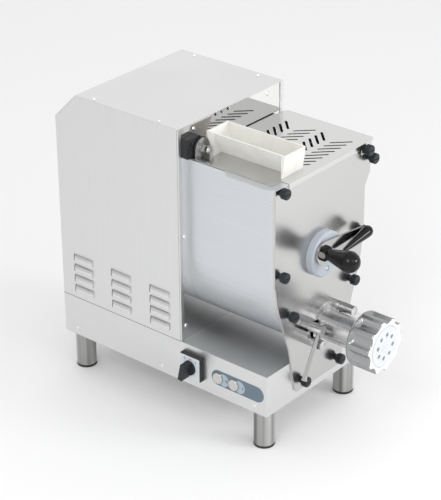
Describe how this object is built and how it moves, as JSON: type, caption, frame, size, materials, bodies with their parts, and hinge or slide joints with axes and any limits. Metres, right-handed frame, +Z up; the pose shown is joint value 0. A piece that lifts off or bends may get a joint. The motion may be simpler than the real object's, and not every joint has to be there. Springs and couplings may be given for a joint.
{
  "type": "electric pasta maker",
  "caption": "Electric pasta maker: a sheet metal housing on legs, a kneading tank with a hinged slotted lid and tray, and an auger extruder with a ring nut and die.",
  "frame": {"origin": "on the floor under the middle of the whole machine", "axes": "+X from the rear panel towards the die, +Y from the control side to the far side, +Z up"},
  "size_m": [0.672, 0.334, 0.5862],
  "materials": {
    "sheet_steel": "satin sheet",
    "polished_steel": "polished",
    "machined_steel": "turned and polished",
    "tank_steel": "fine brushed",
    "zinc_screw": "bright",
    "gear_steel": "machined",
    "alu": "turned",
    "cast_alu": "cast",
    "black_knob": "satin black",
    "black_gloss": "glossy black",
    "black_switch": "black",
    "white_face": "white plate",
    "label_grey": "printed label",
    "button_grey": "pale grey",
    "tray_ivory": "ivory",
    "bush_grey": "blue grey",
    "die_white": "white",
    "rubber": "black",
    "motor_paint": "blue grey enamel",
    "electric_parts": "pale plastic"
  },
  "bodies": {
    "machine": {"base_shell": "sheet_steel", "base_floor": "sheet_steel", "legs": "machined_steel", "foot_caps": "rubber", "near_panel": "sheet_steel", "far_panel": "sheet_steel", "rear_panel": "sheet_steel", "top_cover": "sheet_steel", "partition": "polished_steel", "case_screws": "zinc_screw", "tank": "tank_steel", "front_frame": "polished_steel", "front_plate": "polished_steel", "safety_switch": "black_switch", "hinge_bolt": "zinc_screw", "bush_disc": "bush_grey", "barrel": "machined_steel", "die": "die_white", "bearing_plates": "cast_alu", "bearings": "zinc_screw", "shaft_seals": "rubber", "gearbox": "cast_alu", "motor": "motor_paint", "electrics": "electric_parts", "cable_gland": "black_switch", "switch_body": "black_switch", "switch_face": "white_face", "panel_label": "label_grey"},
    "nut_top_near": {"nut_top_near": "black_knob"},
    "nut_ear_far": {"nut_ear_far": "black_knob"},
    "nut_mid_near": {"nut_mid_near": "black_knob"},
    "nut_mid_far": {"nut_mid_far": "black_knob"},
    "nut_low_near": {"nut_low_near": "black_knob"},
    "nut_low_far": {"nut_low_far": "black_knob"},
    "nut_bottom_near": {"nut_bottom_near": "black_knob"},
    "nut_bottom_far": {"nut_bottom_far": "black_knob"},
    "lid_body": {"lid": "polished_steel", "hinge_disc": "black_knob", "tray": "tray_ivory"},
    "lock_screw": {"lid_lock": "black_knob"},
    "mixer": {"mixer_shaft": "machined_steel", "mixer_paddles": "polished_steel", "mixer_gear": "gear_steel"},
    "auger": {"auger_shaft": "machined_steel", "auger_screw": "machined_steel", "auger_gear": "gear_steel"},
    "rotor": {"motor_rotor": "gear_steel"},
    "lever": {"lever_hub": "black_knob", "lever_arm": "machined_steel", "knob_handle": "black_gloss"},
    "fold_grip": {"fold_handle": "black_gloss"},
    "clamp_a": {"clamp_nut_a": "machined_steel"},
    "clamp_b": {"clamp_nut_b": "machined_steel"},
    "clamp_c": {"clamp_nut_c": "machined_steel"},
    "clamp_d": {"clamp_nut_d": "machined_steel"},
    "bar": {"tommy_bar": "machined_steel"},
    "ring": {"ring_nut": "alu"},
    "knob": {"switch_knob": "black_switch"},
    "start": {"start_button": "button_grey"},
    "stop": {"stop_button": "button_grey"}
  },
  "joints": [
    {"name": "lid_hinge", "type": "hinge", "parent": "machine", "child": "lid_body", "pos_m": [0.002, -0.085, 0.539], "axis": [1, 0, 0], "range_deg": [0, 105]},
    {"name": "lid_lock_turn", "type": "hinge", "parent": "lid_body", "child": "lock_screw", "pos_m": [0.201, 0.1355, 0.515], "axis": [1, 0, 0], "continuous": true},
    {"name": "nut_top_near_turn", "type": "hinge", "parent": "machine", "child": "nut_top_near", "pos_m": [0.198, -0.102, 0.516], "axis": [1, 0, 0], "continuous": true},
    {"name": "nut_ear_far_turn", "type": "hinge", "parent": "machine", "child": "nut_ear_far", "pos_m": [0.198, 0.154, 0.492], "axis": [1, 0, 0], "continuous": true},
    {"name": "nut_mid_near_turn", "type": "hinge", "parent": "machine", "child": "nut_mid_near", "pos_m": [0.198, -0.1015, 0.355], "axis": [1, 0, 0], "continuous": true},
    {"name": "nut_mid_far_turn", "type": "hinge", "parent": "machine", "child": "nut_mid_far", "pos_m": [0.198, 0.1335, 0.355], "axis": [1, 0, 0], "continuous": true},
    {"name": "nut_low_near_turn", "type": "hinge", "parent": "machine", "child": "nut_low_near", "pos_m": [0.198, -0.074, 0.265], "axis": [1, 0, 0], "continuous": true},
    {"name": "nut_low_far_turn", "type": "hinge", "parent": "machine", "child": "nut_low_far", "pos_m": [0.198, 0.106, 0.265], "axis": [1, 0, 0], "continuous": true},
    {"name": "nut_bottom_near_turn", "type": "hinge", "parent": "machine", "child": "nut_bottom_near", "pos_m": [0.198, -0.036, 0.115], "axis": [1, 0, 0], "continuous": true},
    {"name": "nut_bottom_far_turn", "type": "hinge", "parent": "machine", "child": "nut_bottom_far", "pos_m": [0.198, 0.068, 0.115], "axis": [1, 0, 0], "continuous": true},
    {"name": "mixer_spin", "type": "hinge", "parent": "machine", "child": "mixer", "pos_m": [0.066, 0.016, 0.355], "axis": [1, 0, 0], "continuous": true},
    {"name": "auger_spin", "type": "hinge", "parent": "machine", "child": "auger", "pos_m": [0.066, 0.016, 0.215], "axis": [1, 0, 0], "continuous": true},
    {"name": "motor_spin", "type": "hinge", "parent": "machine", "child": "rotor", "pos_m": [-0.142, 0.071, 0.328], "axis": [0, 0, 1], "continuous": true},
    {"name": "lever_turn", "type": "hinge", "parent": "machine", "child": "lever", "pos_m": [0.207, 0.016, 0.355], "axis": [1, 0, 0], "range_deg": [-35, 75]},
    {"name": "fold_grip_swing", "type": "hinge", "parent": "lever", "child": "fold_grip", "pos_m": [0.211, 0.1095, 0.37], "axis": [1, 0, 0], "range_deg": [0, 165]},
    {"name": "clamp_a_turn", "type": "hinge", "parent": "machine", "child": "clamp_a", "pos_m": [0.216, -0.0305, 0.23], "axis": [1, 0, 0], "range_deg": [-35, 0]},
    {"name": "clamp_b_turn", "type": "hinge", "parent": "machine", "child": "clamp_b", "pos_m": [0.216, 0.0625, 0.23], "axis": [1, 0, 0], "continuous": true},
    {"name": "clamp_c_turn", "type": "hinge", "parent": "machine", "child": "clamp_c", "pos_m": [0.216, -0.0305, 0.2], "axis": [1, 0, 0], "continuous": true},
    {"name": "clamp_d_turn", "type": "hinge", "parent": "machine", "child": "clamp_d", "pos_m": [0.216, 0.0625, 0.2], "axis": [1, 0, 0], "continuous": true},
    {"name": "bar_slide", "type": "slide", "parent": "clamp_a", "child": "bar", "axis": [0, -0.4633, -0.8862], "range_m": [-0.055, 0]},
    {"name": "ring_nut_turn", "type": "hinge", "parent": "machine", "child": "ring", "pos_m": [0.311, 0.016, 0.215], "axis": [1, 0, 0], "continuous": true},
    {"name": "switch_turn", "type": "hinge", "parent": "machine", "child": "knob", "pos_m": [0.0145, -0.1505, 0.122], "axis": [0, 1, 0], "range_deg": [-45, 45]},
    {"name": "start_press", "type": "slide", "parent": "machine", "child": "start", "axis": [0, 1, 0], "range_m": [0, 0.002], "stiffness_N_per_m": 400},
    {"name": "stop_press", "type": "slide", "parent": "machine", "child": "stop", "axis": [0, 1, 0], "range_m": [0, 0.002], "stiffness_N_per_m": 400}
  ],
  "couplings": [
    {"joint": "auger_spin", "follows": "mixer_spin", "ratio": -2.0769},
    {"joint": "motor_spin", "follows": "mixer_spin", "ratio": -41.538}
  ]
}
